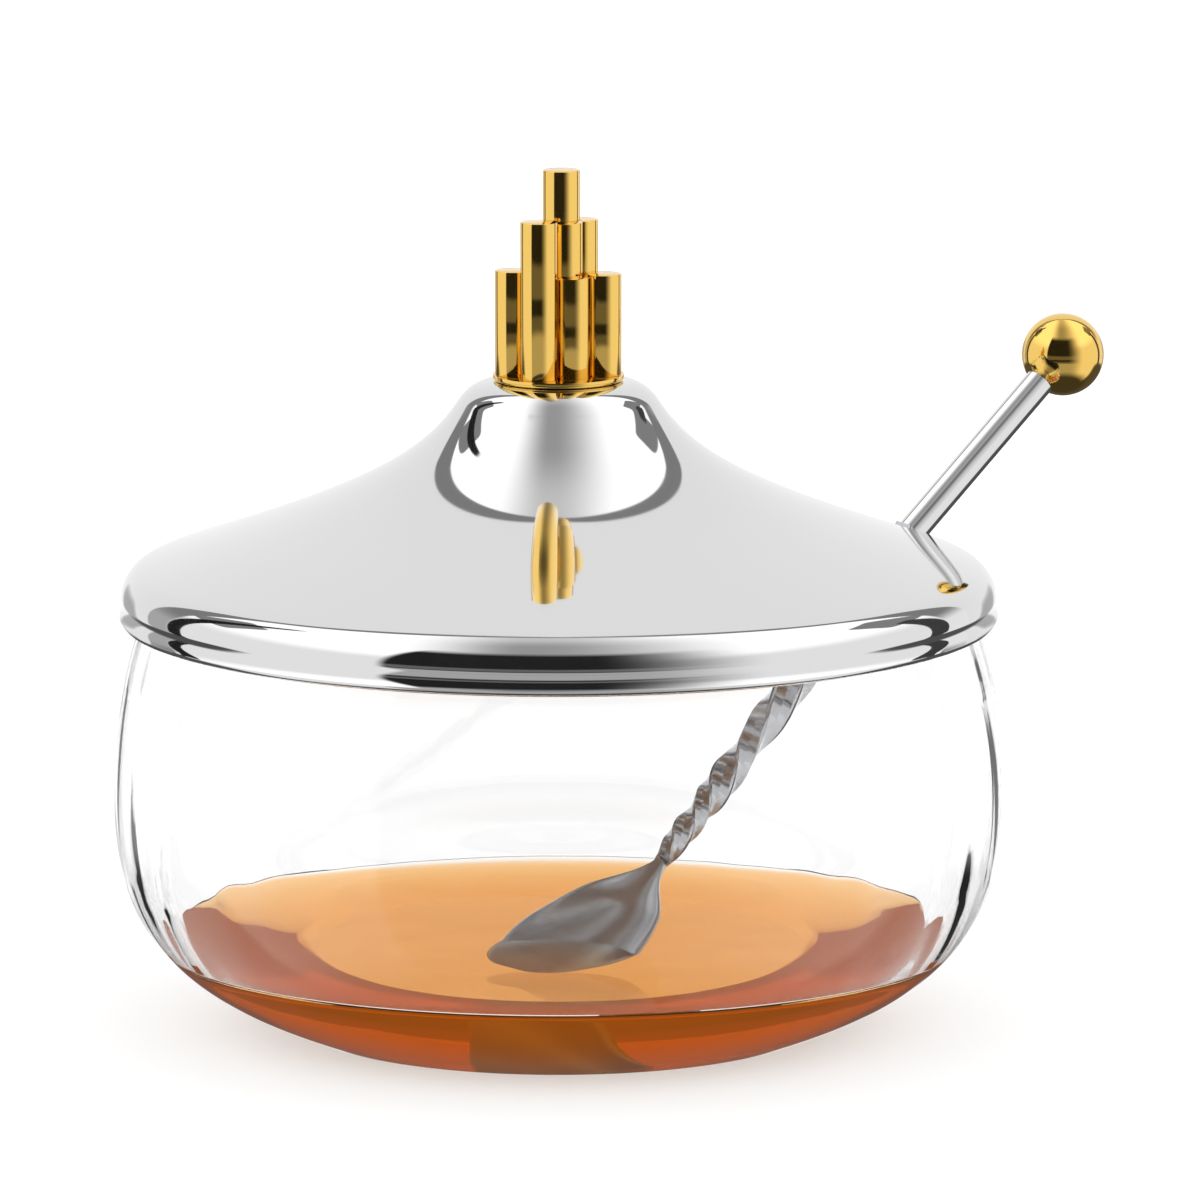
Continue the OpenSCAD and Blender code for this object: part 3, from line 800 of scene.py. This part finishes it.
ROD_EDGE = 0.12 * MM
DISC_EDGE = 0.1 * MM
ROD_NODES = (
    "rod_centre", "rod_mid_left", "rod_mid_front", "rod_mid_right", "rod_low_left",
    "rod_low_front", "rod_low_right", "rod_back_left", "rod_back_right")
for rod_node in ROD_NODES:
    rod = softened_copy(rod_node, "gilt_" + rod_node, ROD_EDGE)
    rod.data.materials.append(gilt)
    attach(rod, "lid")
    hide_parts(rod_node)

disc = softened_copy("finial_disc", "gilt_disc", DISC_EDGE)
disc.data.materials.append(gilt)
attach(disc, "lid")
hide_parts("finial_disc")

# The fixing under the neck: a gilt brass stud brazed to the disc goes through the lid, and a
# plain steel washer and a domed nut draw the finial down on to it.
plain_steel, nodes, links, shader = metal(
    "plain_steel", (0.62, 0.62, 0.62), (0.18, 0.34), {"scale": 900, "detail": 2.0})
turning = surface_noise(nodes, links, 900, detail=2.0)
relief(nodes, links, turning, 0.004 * MM, shader)
FIXINGS = {"finial_stud": gilt, "finial_washer": plain_steel, "finial_nut": plain_steel}
for fixing, finish in FIXINGS.items():
    mesh = frame["nodes"][fixing].data
    mesh.materials.clear()
    mesh.materials.append(finish)


# The spoon's bowl: beaten out of the same stainless bar as its shank, drawn in to a narrow
# neck, dished, and softly polished.
def spoon_steel(name, roughness, dent):
    """Stainless steel with a soft polish and faint hammer dents."""
    material, nodes, links, shader = metal(
        name, (0.38, 0.385, 0.40), roughness, {"scale": 160, "detail": 2.0})
    relief(nodes, links, surface_noise(nodes, links, 110, detail=1.0), dent, shader)
    return material


def smoothed_copy(node, name, levels):
    """Copies a lofted node's mesh and rounds it with a subdivision surface."""
    piece = softened_copy(node, name, 0.05 * MM, segments=1, angle=170)
    deselect()
    piece.select_set(True)
    bpy.context.view_layer.objects.active = piece
    bpy.ops.object.mode_set(mode="EDIT")
    bpy.ops.mesh.select_all(action="SELECT")
    bpy.ops.mesh.tris_convert_to_quads(
        face_threshold=math.radians(60), shape_threshold=math.radians(60))
    bpy.ops.object.mode_set(mode="OBJECT")
    rounding = piece.modifiers.new("rounding", "SUBSURF")
    rounding.levels = levels
    rounding.render_levels = levels
    bpy.ops.object.modifier_apply(modifier=rounding.name)
    bpy.ops.object.shade_smooth()
    return piece


def eased(value, start, end):
    """Runs smoothly from 0 at start to 1 at end."""
    t = min(1, max(0, (value - start) / (end - start)))
    return t * t * (3 - 2 * t)


SHANK_LOW = Vector((14.11, -1.43, 22.46)) * MM
NECK_LENGTH = 9 * MM
NECK_SHARE = 0.42
scoop = smoothed_copy("spoon_bowl", "dished_scoop", 2)
from_shank = [vertex.co - SHANK_LOW for vertex in scoop.data.vertices]
down_spoon = max(from_shank, key=lambda way: way.length).normalized()
for vertex in scoop.data.vertices:
    along = (vertex.co - SHANK_LOW).dot(down_spoon)
    middle = SHANK_LOW + down_spoon * along
    drawn = NECK_SHARE + (1 - NECK_SHARE) * eased(along, 0, NECK_LENGTH)
    vertex.co = middle + (vertex.co - middle) * drawn
scoop.data.materials.append(spoon_steel("scoop_steel", (0.22, 0.26), 0.003 * MM))
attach(scoop, "spoon")
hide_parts("spoon_bowl")

# The shank: the same bar, left nearly square and twisted while hot, tighter and thinner
# towards the bowl. Its upper end is pushed into the lower end of the handle.
BAR_WIDE = 4.1 * MM
BAR_THIN = 3.1 * MM
BAR_CORNER = 0.55 * MM
BAR_STEP = 0.7 * MM
SHANK_LENGTH = 57.5 * MM
INTO_BOWL = 2.0 * MM
LOW_END = 0.7
THINNED = 18 * MM
TIGHT_TWIST = 8.6 * MM
LOOSE_TWIST = 17.6 * MM
TWIST_EASES = (8 * MM, 20 * MM)
deselect()
bpy.ops.mesh.primitive_plane_add(size=1, location=(0, 0, -INTO_BOWL))
shank = bpy.context.object
shank.name = "twisted_shank"
bpy.ops.object.mode_set(mode="EDIT")
bpy.ops.mesh.select_all(action="SELECT")
bpy.ops.transform.resize(value=(BAR_THIN * LOW_END, BAR_WIDE * LOW_END, 1))
bpy.ops.mesh.subdivide(number_cuts=2)
bpy.ops.mesh.bevel(offset=BAR_CORNER, segments=3, affect="VERTICES")
bpy.ops.mesh.select_all(action="SELECT")
bpy.ops.mesh.dissolve_limited(angle_limit=math.radians(1))
size_so_far = LOW_END
for i in range(int((SHANK_LENGTH + INTO_BOWL) / BAR_STEP)):
    along = (i + 1) * BAR_STEP - INTO_BOWL
    bpy.ops.mesh.extrude_region_move(TRANSFORM_OT_translate={"value": (0, 0, BAR_STEP)})
    half_turn = TIGHT_TWIST + (LOOSE_TWIST - TIGHT_TWIST) * eased(along, *TWIST_EASES)
    bpy.ops.transform.rotate(
        value=math.pi * BAR_STEP / half_turn, orient_axis="Z", center_override=(0, 0, along))
    size = LOW_END + (1 - LOW_END) * eased(along, 0, THINNED)
    change = size / size_so_far
    bpy.ops.transform.resize(value=(change, change, 1), center_override=(0, 0, along))
    size_so_far = size
bpy.ops.mesh.select_all(action="SELECT")
bpy.ops.mesh.normals_make_consistent(inside=False)
bpy.ops.object.mode_set(mode="OBJECT")

# The bar lies along the spoon's own slide, with its wide side turned to the front
spoon_slide = next(joint for joint in frame["joints"] if joint["name"] == "spoon_draw")
stem_along = Vector(spoon_slide["axis"])
looking_down = math.radians(LOOKING_DOWN)
sight = Vector((0, math.cos(looking_down), -math.sin(looking_down)))
wide_way = (sight - stem_along * sight.dot(stem_along)).normalized()
thin_way = wide_way.cross(stem_along)
turned_bar = Matrix((thin_way, wide_way, stem_along)).transposed().to_4x4()
shank.matrix_world = Matrix.Translation(SHANK_LOW) @ turned_bar
bpy.ops.object.transform_apply(location=True, rotation=True, scale=True)
bpy.ops.object.shade_smooth_by_angle(angle=math.radians(32))
shank.data.materials.append(spoon_steel("shank_steel", (0.12, 0.17), 0.03 * MM))
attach(shank, "spoon")
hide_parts("spoon_shank")

# The handle: a plain round stainless rod, mirror polished like the lid, and pressed on to the
# upper end of the shank.
handle = frame["nodes"]["spoon_handle"]
handle.data.materials.clear()
handle.data.materials.append(polished_steel)

# The ball: turned from solid brass, gilt like the finial, and pressed on to the end of the
# handle.
ball = frame["nodes"]["spoon_ball"]
ball.data.materials.clear()
ball.data.materials.append(gilt)

low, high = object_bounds()
